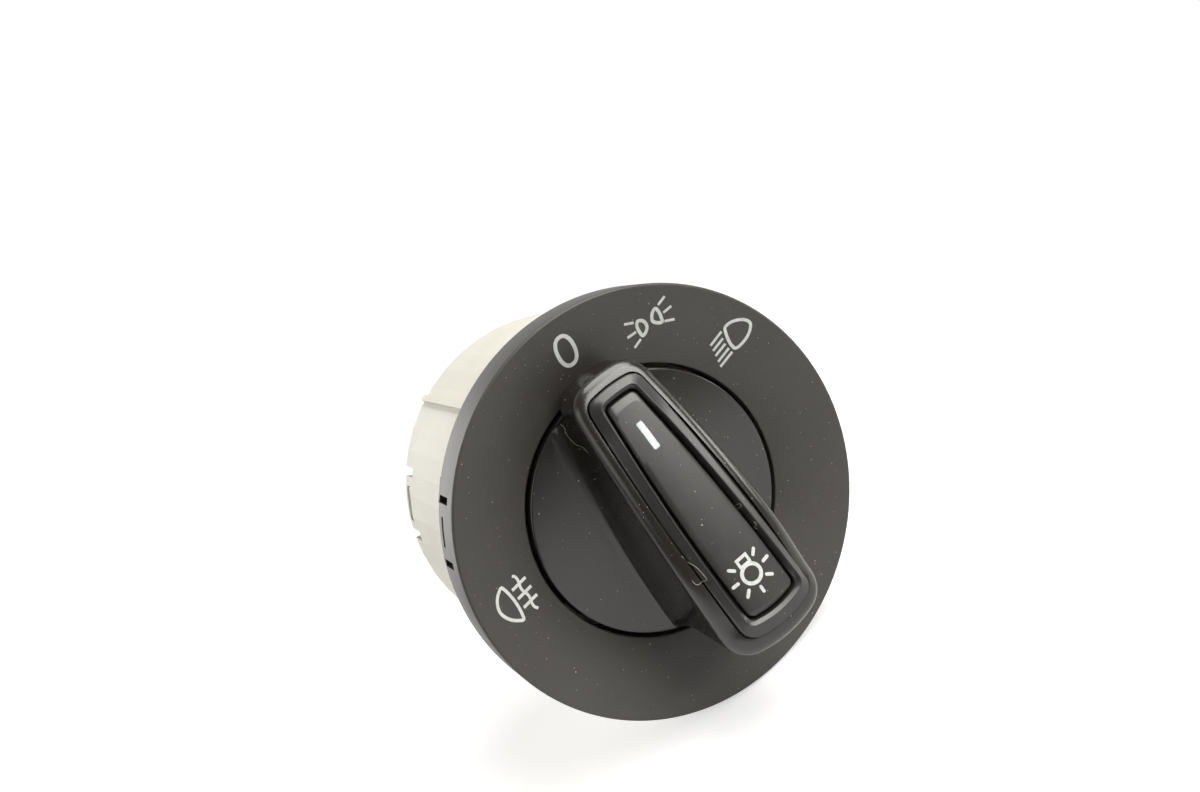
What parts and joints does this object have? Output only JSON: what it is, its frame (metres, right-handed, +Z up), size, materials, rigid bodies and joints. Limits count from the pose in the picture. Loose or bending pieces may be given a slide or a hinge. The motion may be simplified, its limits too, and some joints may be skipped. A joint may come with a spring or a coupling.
{
  "type": "headlight switch",
  "caption": "Round dashboard light switch with a turning, pulling grip knob, sprung release latches and a rear connector socket.",
  "frame": {"origin": "on the knob's turning axis, in the plane where the bezel's skirt sits on the dash", "axes": "installed upright: -Y out of the dash toward the driver, +Y along the turning axis into the dash, +Z up through the 0 position, +X to the driver's right"},
  "size_m": [0.076, 0.0769, 0.076],
  "materials": {
    "face_black": "fine satin grain",
    "knob_black": "soft satin",
    "trim_black": "satin",
    "pale_plastic": "plain moulded, slightly glossy",
    "clear_guide": "clear, polished",
    "lens_white": "smooth translucent white",
    "board": "solder mask",
    "tinned_metal": "tinned",
    "contact_brass": "plain",
    "spring_steel": "drawn",
    "led_white": "smooth",
    "grey_plastic": "plain moulded"
  },
  "bodies": {
    "body": {"bezel": "face_black", "symbol_light_guide": "clear_guide", "housing": "pale_plastic", "rear_cover": "pale_plastic", "circuit_board": "board", "terminal_pin_1": "tinned_metal", "terminal_pin_2": "tinned_metal", "terminal_pin_3": "tinned_metal", "terminal_pin_4": "tinned_metal", "terminal_pin_5": "tinned_metal", "terminal_pin_6": "tinned_metal", "terminal_pin_7": "tinned_metal", "terminal_pin_8": "tinned_metal", "terminal_pin_9": "tinned_metal", "terminal_pin_10": "tinned_metal", "led_1": "led_white", "led_2": "led_white", "led_3": "led_white", "led_4": "led_white", "led_5": "led_white", "contact_track_1": "contact_brass", "contact_track_2": "contact_brass", "contact_track_3": "contact_brass", "knob_light_rod": "clear_guide", "latch_spring_left": "spring_steel", "latch_spring_right": "spring_steel"},
    "rotor": {"rotor": "grey_plastic", "retaining_ring": "spring_steel", "contact_wiper_1": "contact_brass", "contact_wiper_2": "contact_brass", "contact_wiper_3": "contact_brass", "detent_spring": "spring_steel", "return_spring": "spring_steel"},
    "knob": {"knob_shell": "knob_black", "grip_trim_frame": "trim_black", "grip_insert": "knob_black", "pointer_lens": "lens_white", "knob_light_pipe": "clear_guide", "knob_light_ring": "clear_guide", "knob_shaft": "grey_plastic"},
    "fog_slider": {"fog_slider": "trim_black", "fog_contact": "contact_brass"},
    "latch_left": {"release_latch_left": "trim_black"},
    "latch_right": {"release_latch_right": "trim_black"}
  },
  "joints": [
    {"name": "knob_turn", "type": "hinge", "parent": "body", "child": "rotor", "pos_m": [0, 0, 0], "axis": [0, 1, 0], "range_deg": [0, 60], "deforming": ["detent_spring"]},
    {"name": "knob_pull", "type": "slide", "parent": "rotor", "child": "knob", "axis": [0, -1, 0], "range_m": [-0.0025, 0.0045], "stiffness_N_per_m": 200, "deforming": ["return_spring"]},
    {"name": "fog_slide", "type": "slide", "parent": "body", "child": "fog_slider", "axis": [0, -1, 0], "range_m": [-0.0025, 0.0045]},
    {"name": "latch_left_slide", "type": "slide", "parent": "body", "child": "latch_left", "axis": [0.766, 0, 0.6428], "range_m": [0, 0.002], "stiffness_N_per_m": 300, "deforming": ["latch_spring_left"]},
    {"name": "latch_right_slide", "type": "slide", "parent": "body", "child": "latch_right", "axis": [-0.766, 0, 0.6428], "range_m": [0, 0.002], "stiffness_N_per_m": 300, "deforming": ["latch_spring_right"]}
  ],
  "couplings": [
    {"joint": "fog_slide", "follows": "knob_pull", "ratio": 1}
  ]
}
